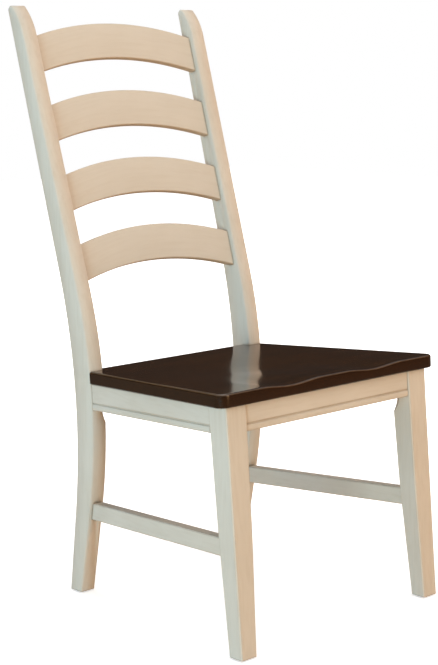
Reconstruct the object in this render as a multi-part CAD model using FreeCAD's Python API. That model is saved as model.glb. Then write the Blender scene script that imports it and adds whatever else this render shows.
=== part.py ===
import FreeCAD, Part
import math
import os

# Ladderback dining chair: two sabre-curved rear posts, four arched ladder slats, a solid
# scooped seat on a beaded apron frame, two tapered front legs and two side stretchers.
# Millimetres. +Z is up, the chair faces -Y, and X = 0 is its plane of symmetry.
# Until the last step Y is counted from the front faces of the front feet.

V = FreeCAD.Vector

# Front legs
leg_outer_x = 259.7
leg_lean = 5.1
leg_foot_width = 36.9
leg_knee_width = 45.2
leg_top_width = 49.2
leg_foot_depth = 31.5
leg_knee_depth = 40.2
leg_top_depth = 44.8
leg_knee_height = 210.0
leg_knee_radius = 3000.0

# Rear posts, drawn in side view as straight runs joined by arcs
post_width = 33.3
post_outer_x = 224.8
post_splay = 0.6
post_foot_y = 477.1
post_foot_depth = 32.9
post_knee_y = 407.1
post_knee_height = 381.4
post_knee_depth = 51.9
post_knee_drop = 8.9
post_front_rake = 16.7
post_back_rake = 15.4
post_front_radius = 884.0
post_back_radius = 1148.0
ear_height = 1081.9
ear_turn = 30.4
ear_nose_radius = 8.0

# Seat, drawn in its own tilted frame whose Z = 0 is the underside
seat_tilt = 3.2
seat_underside = 436.8
seat_thickness = 24.0
seat_front_half = 279.2
seat_back_half = 224.6
seat_front_y = 28.3
seat_corner_radius = 18.0
seat_top_round = 6.0
seat_bottom_chamfer = 2.0
seat_notch_gap = 0.8
dish_depth = 7.0
dish_half_width = 205.0
dish_back_margin = 45.0
dish_back_rise = 228.0
thigh_depth = 4.8
thigh_spacing = 107.0
thigh_half_width = 72.0
thigh_fade = 190.0

# Apron frame
apron_height = 48.0
apron_thickness = 18.0
apron_recess = 3.6
side_recess = 2.6
bead_height = 12.5
bead_quirk = 1.4
bead_swell = 1.2

# Side stretchers
stretcher_drop = 245.7
stretcher_height = 32.0
stretcher_thickness = 22.0
stretcher_inset = 7.5
stretcher_tenon_thickness = 10.0
stretcher_tenon_height = 22.0
stretcher_tenon_length = 20.0

# Ladder slats, counted from the top
slat_count = 4
slat_height = 69.5
slat_thickness = 15.0
slat_arch = 29.5
slat_bow = 5.0
slat_setback = 10.7
slat_pitch = 134.4
slat_top_drop = 2.0
slat_tenon_thickness = 8.0
slat_tenon_height = 46.0
slat_tenon_length = 18.0

# Dowels, corner blocks and fasteners
dowel_diameter = 8.0
dowel_length = 28.0
dowel_in_leg = 13.0
dowel_edge = 11.5
front_chamfer = 13.0
back_chamfer = 3.0
chamfer_runout_radius = 62.0
block_inset = 5.0
block_depth = 28.0
block_leg_gap = 1.2
bolt_diameter = 6.0
bolt_in_leg = 22.0
washer_diameter = 18.0
washer_thickness = 1.6
nut_width = 10.0
nut_height = 5.0
bolt_past_nut = 3.0
screw_diameter = 4.0
screw_head = 8.0
screw_point = 1.0
screw_in_apron = 12.0
screw_grip = 8.0
screw_end_inset = 11.0
seat_screw_in_seat = 13.0
seat_screw_recess = 2.5
seat_screw_offset = 13.0
glide_diameter = 20.0
glide_height = 2.5
glide_nail_diameter = 3.0
glide_nail_length = 14.0

# Eased edges and clearances
arris = 2.2
small_arris = 1.5
slat_arris = 2.5
glue_gap = 0.1
end_gap = 1.0
screw_clearance = 0.3
scoop_clearance = 0.25

# How finely small round parts and the scooped top are drawn
hidden_flats = 8
fastener_flats = 12
round_steps = 3
scoop_stations = 24

# Lengths that only have to run past the wood
overrun = 50.0
half_span = seat_front_half + leg_top_width
whole_depth = post_foot_y + 4.0 * post_knee_depth


def rad(degrees):
    return math.radians(degrees)


# Outlines: polygons whose corners are rounded, and which can be grown by a clearance
def unit(a, b):
    length = math.hypot(b[0] - a[0], b[1] - a[1])
    return ((b[0] - a[0]) / length, (b[1] - a[1]) / length)


def crossing(p, d, q, e):
    t = ((q[0] - p[0]) * e[1] - (q[1] - p[1]) * e[0]) / (d[0] * e[1] - d[1] * e[0])
    return (p[0] + d[0] * t, p[1] + d[1] * t)


def grown(points, radii, gap):
    count = len(points)
    area = sum(points[i - 1][0] * points[i][1] - points[i][0] * points[i - 1][1]
               for i in range(count))
    hand = 1.0 if area > 0 else -1.0
    lines = []
    for i in range(count):
        d = unit(points[i], points[(i + 1) % count])
        out = (d[1] * hand, -d[0] * hand)
        lines.append(((points[i][0] + out[0] * gap, points[i][1] + out[1] * gap), d))
    new_points = []
    new_radii = []
    for i in range(count):
        p, d = lines[i - 1]
        q, e = lines[i]
        new_points.append(crossing(p, d, q, e))
        convex = (d[0] * e[1] - d[1] * e[0]) * hand > 0
        new_radii.append(radii[i] + (gap if convex else -gap) if radii[i] else 0.0)
    return new_points, new_radii


def outline_face(points, radii, to_space, gap=0.0):
    if gap:
        points, radii = grown(points, radii, gap)
    count = len(points)
    ends = []
    for i in range(count):
        a = unit(points[i], points[i - 1])
        b = unit(points[i], points[(i + 1) % count])
        if not radii[i]:
            ends.append((points[i], None, points[i]))
            continue
        half = math.acos(a[0] * b[0] + a[1] * b[1]) / 2.0
        reach = radii[i] / math.tan(half)
        start = (points[i][0] + a[0] * reach, points[i][1] + a[1] * reach)
        end = (points[i][0] + b[0] * reach, points[i][1] + b[1] * reach)
        middle = (a[0] + b[0], a[1] + b[1])
        scale = (radii[i] / math.sin(half) - radii[i]) / math.hypot(*middle)
        top = (points[i][0] + middle[0] * scale, points[i][1] + middle[1] * scale)
        ends.append((start, top, end))
    edges = []
    for i in range(count):
        start, top, end = ends[i]
        if top:
            edges.append(Part.Arc(to_space(*start), to_space(*top), to_space(*end)).toShape())
        after = ends[(i + 1) % count][0]
        if math.hypot(after[0] - end[0], after[1] - end[1]) > 1e-6:
            edges.append(Part.makeLine(to_space(*end), to_space(*after)))
    return Part.Face(Part.Wire(edges))


def box(x0, x1, y0, y1, z0, z1):
    return Part.makeBox(x1 - x0, y1 - y0, z1 - z0, V(x0, y0, z0))


def moved(shape, placement):
    copy = shape.copy()
    copy.transformShape(placement.toMatrix())
    return copy


def mirrored(shape):
    return shape.mirror(V(0, 0, 0), V(1, 0, 0))


def both_sides(shapes):
    return shapes + [mirrored(shape) for shape in shapes]


def one_solid(shape):
    return shape.removeSplitter().Solids[0]


def cut_all(solid, tools):
    for tool in tools:
        solid = solid.cut(tool)
    return solid


def edges_where(shape, test):
    return [edge for edge in shape.Edges if test(edge)]


# The seat's own frame: X as before, Y rearwards along the seat, Z square to it
seat_frame = FreeCAD.Placement(V(0, 0, seat_underside), FreeCAD.Rotation(V(1, 0, 0), -seat_tilt))


def seated(shape):
    return moved(shape, seat_frame)


def to_seat(point):
    return seat_frame.inverse().multVec(point)


def entry(start, end, solid):
    inside = Part.makeLine(start, end).common(solid)
    return min((vertex.Point for vertex in inside.Vertexes), key=lambda p: p.distanceToPoint(start))


# Small round parts are turned about Z with a few flats, which keeps them light
def turned(profile, flats):
    rings = []
    for radius, z in profile:
        turns = [2.0 * math.pi * i / flats for i in range(flats)]
        rings.append([V(radius * math.cos(t), radius * math.sin(t), z) for t in turns])
    faces = [Part.Face(Part.makePolygon(ring + ring[:1])) for ring in (rings[0], rings[-1])]
    for low, high in zip(rings, rings[1:]):
        for i in range(flats):
            j = (i + 1) % flats
            faces.append(Part.Face(Part.makePolygon([low[i], low[j], high[j], high[i], low[i]])))
    solid = Part.Solid(Part.Shell(faces))
    return solid if solid.Volume > 0 else solid.reversed()


def aimed(shape, point, outward):
    return seated(moved(shape, FreeCAD.Placement(point, FreeCAD.Rotation(V(0, 0, 1), outward))))


def rod(start, direction, length, radius, flats=fastener_flats):
    return aimed(turned([(radius, 0), (radius, length)], flats), start, direction)


# Front legs: upright outer face, leaning front face, inner faces tapered from a soft knee
def leg_front_y(z):
    return z * math.tan(rad(leg_lean))


def leg_blank(gap=0.0):
    top = seat_underside + seat_thickness / 2.0
    foot = glide_height - gap
    widths = [
        (leg_outer_x, foot),
        (leg_outer_x, top),
        (leg_outer_x - leg_top_width, top),
        (leg_outer_x - leg_knee_width, leg_knee_height),
        (leg_outer_x - leg_foot_width, foot),
    ]
    depths = [
        (leg_front_y(foot), foot),
        (leg_front_y(top), top),
        (leg_front_y(top) + leg_top_depth, top),
        (leg_front_y(leg_knee_height) + leg_knee_depth, leg_knee_height),
        (leg_front_y(foot) + leg_foot_depth, foot),
    ]
    radii = [0, 0, 0, leg_knee_radius, 0]
    depth = leg_front_y(top) + leg_top_depth + 2.0 * overrun
    inside = leg_outer_x - leg_top_width - overrun
    front = outline_face(widths, radii, lambda x, z: V(x, -overrun, z), gap)
    side = outline_face(depths, radii, lambda y, z: V(inside, y, z), gap)
    return front.extrude(V(0, depth, 0)).common(side.extrude(V(leg_top_width + 2.0 * overrun, 0, 0)))


# Rear posts: sawn from a plank to a sabre curve, with a small rounded ear on top
def ear_corner():
    front = (math.sin(rad(post_front_rake)), math.cos(rad(post_front_rake)))
    return crossing((post_knee_y, post_knee_height), front, (0, ear_height), (1, 0))


def post_outline():
    back = (math.sin(rad(post_back_rake)), math.cos(rad(post_back_rake)))
    nose = (math.sin(rad(post_front_rake + ear_turn)), math.cos(rad(post_front_rake + ear_turn)))
    back_knee = (post_knee_y + post_knee_depth, post_knee_height + post_knee_drop)
    ear = ear_corner()
    tip = crossing(ear, nose, back_knee, back)
    nose_angle = rad(post_front_rake + ear_turn - post_back_rake)
    nose_reach = ear_nose_radius / math.tan(nose_angle / 2.0)
    ear_reach = math.hypot(tip[0] - ear[0], tip[1] - ear[1]) - nose_reach
    ear_radius = ear_reach / math.tan(rad(ear_turn) / 2.0)
    points = [
        (post_foot_y, 0.0),
        (post_knee_y, post_knee_height),
        ear,
        tip,
        back_knee,
        (post_foot_y + post_foot_depth, 0.0),
    ]
    return points, [0, post_front_radius, ear_radius, ear_nose_radius, post_back_radius, 0]


post_lean = FreeCAD.Placement(V(0, 0, 0), FreeCAD.Rotation(V(0, 1, 0), post_splay),
                              V(post_outer_x, 0, seat_underside))


def post_plank(gap=0.0):
    points, radii = post_outline()
    inner = post_outer_x - post_width - gap
    face = outline_face(points, radii, lambda y, z: V(inner, y, z), gap)
    return face.extrude(V(post_width + 2.0 * gap, 0, 0))


leg_body = leg_blank()
leg_cutter = leg_blank(glue_gap)
post_body = moved(post_plank(), post_lean)
post_cutter = moved(post_plank(glue_gap), post_lean)

seat_top_cut = seated(box(-half_span, half_span, -overrun, whole_depth, -glue_gap, overrun))
floor_cut = box(-half_span, half_span, -overrun, whole_depth, -overrun, glide_height)


# Apron frame. Boards are cut over length and then trimmed to the legs and posts.
mid_apron = V(0, 0, seat_underside - apron_height / 2.0)
apron_front_y = to_seat(V(0, leg_front_y(mid_apron.z), mid_apron.z)).y + apron_recess


def post_front_at(z_seat):
    x = post_outer_x - post_width / 2.0
    start = seat_frame.multVec(V(x, 0, z_seat))
    end = seat_frame.multVec(V(x, whole_depth, z_seat))
    return to_seat(entry(start, end, post_body)).y


apron_back_y = post_front_at(-apron_height / 2.0) + apron_recess
seat_back_y = apron_back_y + apron_thickness


def apron_board(length):
    # Outer face on Y = 0, with a bead run along its lower edge under a fine quirk
    h = apron_height
    q = bead_quirk
    quirk = -h + bead_height
    swell = quirk - q
    edges = [
        Part.makeLine(V(0, apron_thickness, -h), V(0, apron_thickness, 0)),
        Part.makeLine(V(0, apron_thickness, 0), V(0, 0, 0)),
        Part.makeLine(V(0, 0, 0), V(0, 0, quirk + q)),
        Part.Arc(V(0, 0, quirk + q), V(0, q, quirk), V(0, 0, swell)).toShape(),
        Part.Arc(V(0, 0, swell), V(0, -bead_swell, (swell - h) / 2.0), V(0, 0, -h)).toShape(),
        Part.makeLine(V(0, 0, -h), V(0, apron_thickness, -h)),
    ]
    return Part.Face(Part.Wire(edges)).extrude(V(length, 0, 0))


def side_line():
    # The outer face of a side apron, in plan, from the front leg to the rear post
    z = -apron_height / 2.0
    leg_point = to_seat(V(0, leg_front_y(mid_apron.z) + leg_top_depth, mid_apron.z))
    start = V(leg_outer_x - side_recess, leg_point.y, 0)
    end = V(post_outer_x - side_recess, post_front_at(z), 0)
    return start, (end - start).normalize()


side_start, side_along = side_line()
side_inward = V(-side_along.y, side_along.x, 0)
side_yaw = math.degrees(math.atan2(side_along.y, side_along.x))


def front_apron():
    half = leg_outer_x - leg_top_width / 2.0
    board = apron_board(2.0 * half)
    board.translate(V(-half, apron_front_y, -glue_gap))
    return cut_all(seated(board), both_sides([leg_cutter]))


def rear_apron():
    half = post_outer_x - post_width / 2.0
    board = apron_board(2.0 * half)
    board.rotate(V(0, 0, 0), V(0, 0, 1), 180)
    board.translate(V(half, seat_back_y, -glue_gap))
    return cut_all(seated(board), both_sides([post_cutter]))


def side_apron():
    overlap = leg_top_depth / 2.0
    length = (seat_back_y - side_start.y) + 2.0 * overlap
    placement = FreeCAD.Placement(side_start - side_along * overlap - V(0, 0, glue_gap),
                                  FreeCAD.Rotation(V(0, 0, 1), side_yaw))
    board = seated(moved(apron_board(length), placement))
    return cut_all(board, [leg_cutter, post_cutter])


# Corner geometry: each corner is described by the point where the inner faces of its two
# aprons would meet, the directions of the aprons away from it, and its bisector
apron_middle_z = -apron_height / 2.0


def corner(apron_y, away, body, chamfer):
    inner = side_start + side_inward * apron_thickness
    x = inner.x + side_along.x * (apron_y - inner.y) / side_along.y
    meet = V(x, apron_y, 0)
    first = V(-1, 0, 0)
    bisector = (first + away).normalize()
    middle = V(0, 0, apron_middle_z)
    far = seat_frame.multVec(meet + bisector * half_span + middle)
    near = seat_frame.multVec(meet + middle)
    reach = (to_seat(entry(far, near, body)) - meet).dot(bisector)
    return {
        "meet": meet,
        "sides": (first, away),
        "bisector": bisector,
        "across": V(-bisector.y, bisector.x, 0),
        "flat": reach - chamfer / math.sqrt(2.0),
    }


def corner_point(place, s, w, z):
    return place["meet"] + place["bisector"] * s + place["across"] * w + V(0, 0, z)


def chamfer_tool(place):
    # A flat on the inner corner that ends below the apron in a round cutter run-out
    flat = place["flat"]
    r = chamfer_runout_radius
    bottom = -apron_height
    half = leg_top_width
    corners = [
        corner_point(place, flat, -half, half),
        corner_point(place, flat, -half, bottom),
        corner_point(place, flat + r, -half, bottom - r),
        corner_point(place, flat + r, -half, half),
    ]
    swing = r * (1.0 - math.sqrt(0.5))
    middle = corner_point(place, flat + swing, -half, bottom - r * math.sqrt(0.5))
    edges = [
        Part.makeLine(corners[0], corners[1]),
        Part.Arc(corners[1], middle, corners[2]).toShape(),
        Part.makeLine(corners[2], corners[3]),
        Part.makeLine(corners[3], corners[0]),
    ]
    tool = Part.Face(Part.Wire(edges)).extrude(place["across"] * (2.0 * half))
    return seated(tool)


def block_faces(place):
    near = place["flat"] + block_leg_gap
    return near, near + block_depth


def corner_block(place):
    near, far = block_faces(place)
    first, second = place["sides"]
    b = place["bisector"]
    slack = glue_gap / math.sin(first.getAngle(second) / 2.0)
    apex = place["meet"] + b * slack

    def on(side, s):
        return apex + side * ((s - slack) / side.dot(b))

    points = [on(first, near), on(first, far), on(second, far), on(second, near)]
    low = V(0, 0, -apron_height + block_inset)
    wire = Part.makePolygon([p + low for p in points + points[:1]])
    return seated(Part.Face(wire).extrude(V(0, 0, apron_height - 2.0 * block_inset)))


# Screws point along -Z of their own frame, with the underside of the head at Z = 0
def screw(length, gap=0.0, tunnel=0.0):
    r = screw_diameter / 2.0 + gap
    head = screw_head / 2.0 + gap
    profile = [(screw_point + gap, -length - gap), (r, -length + screw_diameter), (r, 0),
               (head, head - r)]
    if tunnel:
        profile.append((head, tunnel))
    return turned(profile, hidden_flats)


def block_screw_places(place):
    far = block_faces(place)[1]
    places = []
    for side in place["sides"]:
        outward = place["bisector"] - side * place["bisector"].dot(side)
        outward.normalize()
        reach = far / side.dot(place["bisector"]) - screw_end_inset
        point = place["meet"] + side * reach + outward * screw_grip + V(0, 0, apron_middle_z)
        places.append((point, outward))
    return places


def seat_screw_place(place):
    near, far = block_faces(place)
    low = -apron_height + block_inset + seat_screw_recess
    return corner_point(place, (near + far) / 2.0, seat_screw_offset, low), V(0, 0, -1)


def bolt(place, gap=0.0):
    start = place["flat"] - bolt_in_leg - (end_gap if gap else 0.0)
    end = block_faces(place)[1] + washer_thickness + nut_height + bolt_past_nut
    return rod(corner_point(place, start, 0, apron_middle_z), place["bisector"],
               end - start, bolt_diameter / 2.0 + gap)


def washer(place):
    start = corner_point(place, block_faces(place)[1], 0, apron_middle_z)
    disc = rod(start, place["bisector"], washer_thickness, washer_diameter / 2.0)
    return disc.cut(bolt(place, screw_clearance))


def nut(place):
    start = corner_point(place, block_faces(place)[1] + washer_thickness, 0, apron_middle_z)
    prism = rod(start, place["bisector"], nut_height, nut_width / math.sqrt(3.0), 6)
    return prism.cut(bolt(place, glue_gap / 2.0))


front_corner = corner(apron_front_y + apron_thickness, side_along, leg_body, front_chamfer)
back_corner = corner(apron_back_y, side_along * -1.0, post_body, back_chamfer)
corners = [front_corner, back_corner]


# Dowels: two in each end of each apron
def dowel_lines():
    half = apron_thickness / 2.0
    side_middle = side_start + side_inward * half + side_along * (seat_back_y / 2.0)
    return [
        (V(0, apron_front_y + half, 0), V(1, 0, 0), leg_body),
        (V(0, apron_back_y + half, 0), V(1, 0, 0), post_body),
        (side_middle, side_along * -1.0, leg_body),
        (side_middle, side_along, post_body),
    ]


def dowels(gap=0.0):
    extra = end_gap if gap else 0.0
    made = []
    for middle, direction, body in dowel_lines():
        for z in (-dowel_edge, dowel_edge - apron_height):
            inside = seat_frame.multVec(middle + V(0, 0, z))
            far = seat_frame.multVec(middle + direction * half_span + V(0, 0, z))
            shoulder = to_seat(entry(inside, far, body))
            start = shoulder - direction * (dowel_length - dowel_in_leg + extra)
            made.append(rod(start, direction, dowel_length + 2.0 * extra,
                            dowel_diameter / 2.0 + gap, hidden_flats))
    return made


# Side stretchers, parallel to the seat, tenoned into the leg and the post
def post_outer_at(z):
    return post_outer_x + (z - seat_underside) * math.tan(rad(post_splay))


def stretcher_axis():
    z = -stretcher_drop
    half = stretcher_thickness / 2.0
    leg_z = seat_underside - stretcher_drop
    leg_y = to_seat(V(0, leg_front_y(leg_z) + leg_knee_depth / 2.0, leg_z)).y
    start = V(leg_outer_x - stretcher_inset - half, leg_y, z)
    inside = seat_frame.multVec(V(post_outer_x - post_width / 2.0, leg_y, z))
    behind = seat_frame.multVec(V(post_outer_x - post_width / 2.0, whole_depth, z))
    post_point = to_seat(entry(inside, behind, post_body))
    post_z = seat_frame.multVec(post_point).z
    end = V(post_outer_at(post_z) - stretcher_inset - half, post_point.y, z)
    return start, end


def stretcher_box(start, along, length, before, thickness, height, gap=0.0):
    shape = box(-before, length, -thickness / 2.0 - gap, thickness / 2.0 + gap,
                -height / 2.0 - gap, height / 2.0 + gap)
    turn = FreeCAD.Rotation(V(0, 0, 1), math.degrees(math.atan2(along.y, along.x)))
    return moved(shape, FreeCAD.Placement(start, turn))


stretcher_start, stretcher_end = stretcher_axis()
stretcher_along = (stretcher_end - stretcher_start).normalize()


def stretcher_tenons(gap=0.0):
    made = []
    middle = (stretcher_start + stretcher_end) / 2.0
    for direction, body in ((stretcher_along * -1.0, leg_body), (stretcher_along, post_body)):
        inside = seat_frame.multVec(middle)
        far = seat_frame.multVec(middle + direction * half_span)
        shoulder = to_seat(entry(inside, far, body))
        length = stretcher_tenon_length + (end_gap if gap else 0.0)
        made.append(seated(stretcher_box(shoulder, direction, length, stretcher_tenon_length,
                                         stretcher_tenon_thickness, stretcher_tenon_height, gap)))
    return made


def side_stretcher():
    length = stretcher_start.distanceToPoint(stretcher_end) + post_foot_depth / 2.0
    rail = stretcher_box(stretcher_start, stretcher_along, length, 0,
                         stretcher_thickness, stretcher_height)
    long_edges = edges_where(rail, lambda e: e.Length > length / 2.0)
    rail = seated(rail.makeChamfer(small_arris, long_edges))
    rail = cut_all(rail, [leg_cutter, post_cutter])
    return one_solid(one_solid(rail).fuse(stretcher_tenons()))


# Ladder slats, each drawn in the raked plane of the back: X across, Y rearwards, Z up the rake
back_frame = FreeCAD.Placement(V(0, *ear_corner()), FreeCAD.Rotation(V(1, 0, 0), -post_front_rake))


def slat_half(crown):
    # Half the shoulder length of the slat whose top crown is at this height up the rake
    y = slat_setback + slat_thickness / 2.0
    z = crown - slat_arch - slat_height / 2.0
    inside = back_frame.multVec(V(0, y, z))
    outside = back_frame.multVec(V(post_outer_x, y, z))
    return entry(inside, outside, post_body).x


def drop(x, half, rise):
    radius = (half * half + rise * rise) / (2.0 * rise)
    return radius - math.sqrt(radius * radius - x * x)


def slat_crown(index):
    return -slat_top_drop - index * slat_pitch


def bent_face(half, reach, rise, crown, thickness, to_space):
    # A strip between two like arcs, drawn past the shoulders on both sides
    end = crown - drop(reach, half, rise)
    left = -reach
    edges = [
        Part.Arc(to_space(left, end), to_space(0, crown), to_space(reach, end)).toShape(),
        Part.makeLine(to_space(reach, end), to_space(reach, end - thickness)),
        Part.Arc(to_space(reach, end - thickness), to_space(0, crown - thickness),
                 to_space(left, end - thickness)).toShape(),
        Part.makeLine(to_space(left, end - thickness), to_space(left, end)),
    ]
    return Part.Face(Part.Wire(edges))


def slat_tenons(index, gap=0.0):
    crown = slat_crown(index)
    half = slat_half(crown)
    y = slat_setback + slat_thickness / 2.0
    z = crown - slat_arch - slat_height / 2.0
    wide = slat_tenon_thickness / 2.0 + gap
    tall = slat_tenon_height / 2.0 + gap
    end = half + slat_tenon_length + (end_gap if gap else 0.0)
    tenon = box(half - slat_thickness, end, y - wide, y + wide, z - tall, z + tall)
    return [moved(tenon, back_frame), moved(mirrored(tenon), back_frame)]


def ladder_slat(index):
    crown = slat_crown(index)
    half = slat_half(crown)
    reach = half + post_width / 2.0
    back = slat_setback + slat_thickness + slat_bow
    bottom = crown - 2.0 * slat_height
    front = bent_face(half, reach, slat_arch, crown, slat_height, lambda a, b: V(a, -overrun, b))
    plan = bent_face(half, reach, slat_bow, back, slat_thickness, lambda a, b: V(a, b, bottom))
    slab = front.extrude(V(0, 3.0 * overrun, 0)).common(plan.extrude(V(0, 0, 3.0 * slat_height)))
    slab = slab.makeChamfer(slat_arris, edges_where(slab, lambda e: e.Length > reach))
    slab = one_solid(cut_all(moved(slab, back_frame), both_sides([post_cutter])))
    return one_solid(slab.fuse(slat_tenons(index)))


# Seat: one slab, its top dished for the sitter, with two thigh hollows through the front edge
def bump(t):
    return (1.0 - t * t) ** 2 if abs(t) < 1.0 else 0.0


def ramp(t):
    t = min(max(t, 0.0), 1.0)
    return t * t * (3.0 - 2.0 * t)


def scooped_z(x, y):
    # The cutter starts a little above the flat border, so that it leaves the border whole
    back = ramp((seat_back_y - dish_back_margin - y) / dish_back_rise)
    blend = ramp((y - seat_front_y) / thigh_fade)
    dish = (dish_depth + scoop_clearance) * bump(x / dish_half_width)
    thighs = (thigh_depth + scoop_clearance) * (bump((x - thigh_spacing) / thigh_half_width)
                                                + bump((x + thigh_spacing) / thigh_half_width))
    return seat_thickness + scoop_clearance - back * (blend * dish + (1.0 - blend) * thighs)


def stations(start, end):
    return [start + (end - start) * i / scoop_stations for i in range(scoop_stations + 1)]


def scoop_tool():
    rows = []
    for y in stations(seat_front_y - seat_thickness, seat_back_y + seat_thickness):
        rows.append([V(x, y, scooped_z(x, y)) for x in stations(-half_span, half_span)])
    surface = Part.BSplineSurface()
    surface.interpolate(rows)
    return surface.toShape().extrude(V(0, 0, seat_thickness))


def edge_tools():
    # Where the hollows run out, they take the rounding of the front edge down with them in
    # a few flats, each a line tangent to the round and carried along the hollowed edge
    r = seat_top_round
    curve = Part.BSplineCurve()
    curve.interpolate([V(x, seat_front_y, scooped_z(x, seat_front_y))
                       for x in stations(-half_span, half_span)])
    made = []
    for step in range(1, round_steps + 1):
        turn = rad(90.0) * step / (round_steps + 1)
        along = V(0, math.cos(turn), math.sin(turn))
        line = curve.toShape()
        line.translate(V(0, r - r * math.sin(turn), r * math.cos(turn) - r) - along * r)
        made.append(line.extrude(along * (2.0 * r)).extrude(V(0, 0, seat_thickness)))
    return made


def seat():
    post_line_y = apron_back_y - apron_recess
    slope = (seat_front_half - seat_back_half) / (post_line_y - seat_front_y)
    back_half = seat_front_half - slope * (seat_back_y - seat_front_y)
    points = [
        (-seat_front_half, seat_front_y),
        (seat_front_half, seat_front_y),
        (back_half, seat_back_y),
        (-back_half, seat_back_y),
    ]
    r = seat_corner_radius
    slab = outline_face(points, [r, r, 0, 0], lambda x, y: V(x, y, 0))
    slab = slab.extrude(V(0, 0, seat_thickness))
    top = edges_where(slab, lambda e: e.BoundBox.ZMin > seat_thickness / 2.0)
    slab = slab.makeFillet(seat_top_round, top)
    bottom = edges_where(slab, lambda e: e.BoundBox.ZMax < seat_thickness / 4.0)
    slab = slab.makeChamfer(seat_bottom_chamfer, bottom)
    slab = seated(cut_all(slab, [scoop_tool()] + edge_tools()))
    notch = moved(post_plank(seat_notch_gap), post_lean)
    return cut_all(slab, both_sides([notch]) + both_sides(seat_screws(glue_gap)))


# Each upright from its blank and the cuts that its neighbours need
def glide(foot, gap=0.0):
    disc = Part.makeCylinder(glide_diameter / 2.0 + gap, glide_height, V(foot.x, foot.y, 0))
    profile = [(glide_nail_diameter / 2.0 + gap, glide_height / 2.0),
               (glide_nail_diameter / 2.0 + gap, glide_height + glide_nail_length + gap)]
    nail = turned(profile, hidden_flats)
    nail.translate(V(foot.x, foot.y, 0))
    return disc.fuse(nail)


def foot_of(solid):
    return min(solid.Faces, key=lambda f: f.CenterOfMass.z).CenterOfMass


def front_leg():
    edges = edges_where(leg_body, lambda e: e.BoundBox.ZLength > leg_foot_width)
    leg = leg_body.makeChamfer(arris, edges).cut(seat_top_cut)
    tools = dowels(glue_gap) + stretcher_tenons(glue_gap)
    tools += [chamfer_tool(front_corner), bolt(front_corner, glue_gap)]
    leg = cut_all(leg, tools)
    return leg.cut(glide(foot_of(leg), glue_gap))


def rear_post():
    plank = post_plank()
    sides = edges_where(plank, lambda e: e.BoundBox.XLength < glue_gap
                        and e.BoundBox.ZMax > glide_height)
    post = moved(plank.makeChamfer(arris, sides), post_lean).cut(floor_cut)
    tools = dowels(glue_gap) + stretcher_tenons(glue_gap)
    for index in range(slat_count):
        tools += slat_tenons(index, glue_gap)[:1]
    tools += [chamfer_tool(back_corner), bolt(back_corner, glue_gap)]
    post = cut_all(post, tools)
    return post.cut(glide(foot_of(post), glue_gap))


def apron_holes():
    holes = dowels(glue_gap)
    for place in corners:
        for point, outward in block_screw_places(place):
            holes.append(aimed(screw(screw_grip + screw_in_apron, glue_gap), point, outward))
    return holes


def finished_block(place):
    tools = [bolt(place, screw_clearance)]
    for point, outward in block_screw_places(place) + [seat_screw_place(place)]:
        shape = screw(apron_height, screw_clearance, apron_height)
        tools.append(aimed(shape, point, outward))
    return cut_all(corner_block(place), tools)


def seat_screws(gap=0.0):
    length = apron_height - block_inset - seat_screw_recess + seat_screw_in_seat
    return [aimed(screw(length, gap), *seat_screw_place(place)) for place in corners]


def block_screws():
    made = []
    for place in corners:
        for point, outward in block_screw_places(place):
            made.append(aimed(screw(screw_grip + screw_in_apron), point, outward))
    return made


leg = one_solid(front_leg())
post = one_solid(rear_post())
side_rail = one_solid(cut_all(side_apron(), apron_holes()))
stretcher = side_stretcher()

nodes = {}
nodes["front_leg_right"] = [leg]
nodes["front_leg_left"] = [mirrored(leg)]
nodes["rear_post_right"] = [post]
nodes["rear_post_left"] = [mirrored(post)]
nodes["seat"] = [one_solid(seat())]
nodes["front_apron"] = [one_solid(cut_all(front_apron(), both_sides(apron_holes())))]
nodes["rear_apron"] = [one_solid(cut_all(rear_apron(), both_sides(apron_holes())))]
nodes["side_apron_right"] = [side_rail]
nodes["side_apron_left"] = [mirrored(side_rail)]
nodes["side_stretcher_right"] = [stretcher]
nodes["side_stretcher_left"] = [mirrored(stretcher)]
for index in range(slat_count):
    nodes["ladder_slat_%d" % (index + 1)] = [ladder_slat(index)]
for name, place in (("front", front_corner), ("rear", back_corner)):
    block = one_solid(finished_block(place))
    nodes["corner_block_%s_right" % name] = [block]
    nodes["corner_block_%s_left" % name] = [mirrored(block)]
nodes["apron_dowels"] = both_sides(dowels())
nodes["hanger_bolts"] = both_sides([bolt(place) for place in corners])
nodes["bolt_washers"] = both_sides([washer(place) for place in corners])
nodes["bolt_nuts"] = both_sides([nut(place) for place in corners])
nodes["block_screws"] = both_sides(block_screws())
nodes["seat_screws"] = both_sides(seat_screws())
nodes["foot_glides"] = both_sides([glide(foot_of(leg_body.cut(floor_cut))),
                                   glide(foot_of(post_body.cut(floor_cut)))])

# The origin is on the floor below the middle of the whole chair
whole = Part.makeCompound([leg, post]).optimalBoundingBox(False)
middle_y = (whole.YMin + whole.YMax) / 2.0

os.makedirs("parts", exist_ok=True)
for name, solids in nodes.items():
    shape = solids[0] if len(solids) == 1 else Part.makeCompound(solids)
    shape = shape.copy()
    shape.translate(V(0, -middle_y, 0))
    shape.exportStep("parts/%s.step" % name)
    print(name, len(shape.Solids), shape.isValid(), round(shape.Volume / 1000.0, 2))
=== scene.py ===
# %% [markdown]
# # A ladderback chair in painted wood, dressed in Blender
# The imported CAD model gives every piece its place. This lesson keeps the sawn legs, boards and
# blocks as they come and closes one corner of each rear post. It makes the arched slats, the
# dished seat and the small metal pieces anew, because they need finer detail, and gives each
# surface the finish of the real one.

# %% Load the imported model
import bmesh
import bpy
import math
import numpy as np
from mathutils import Matrix, Vector


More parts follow.
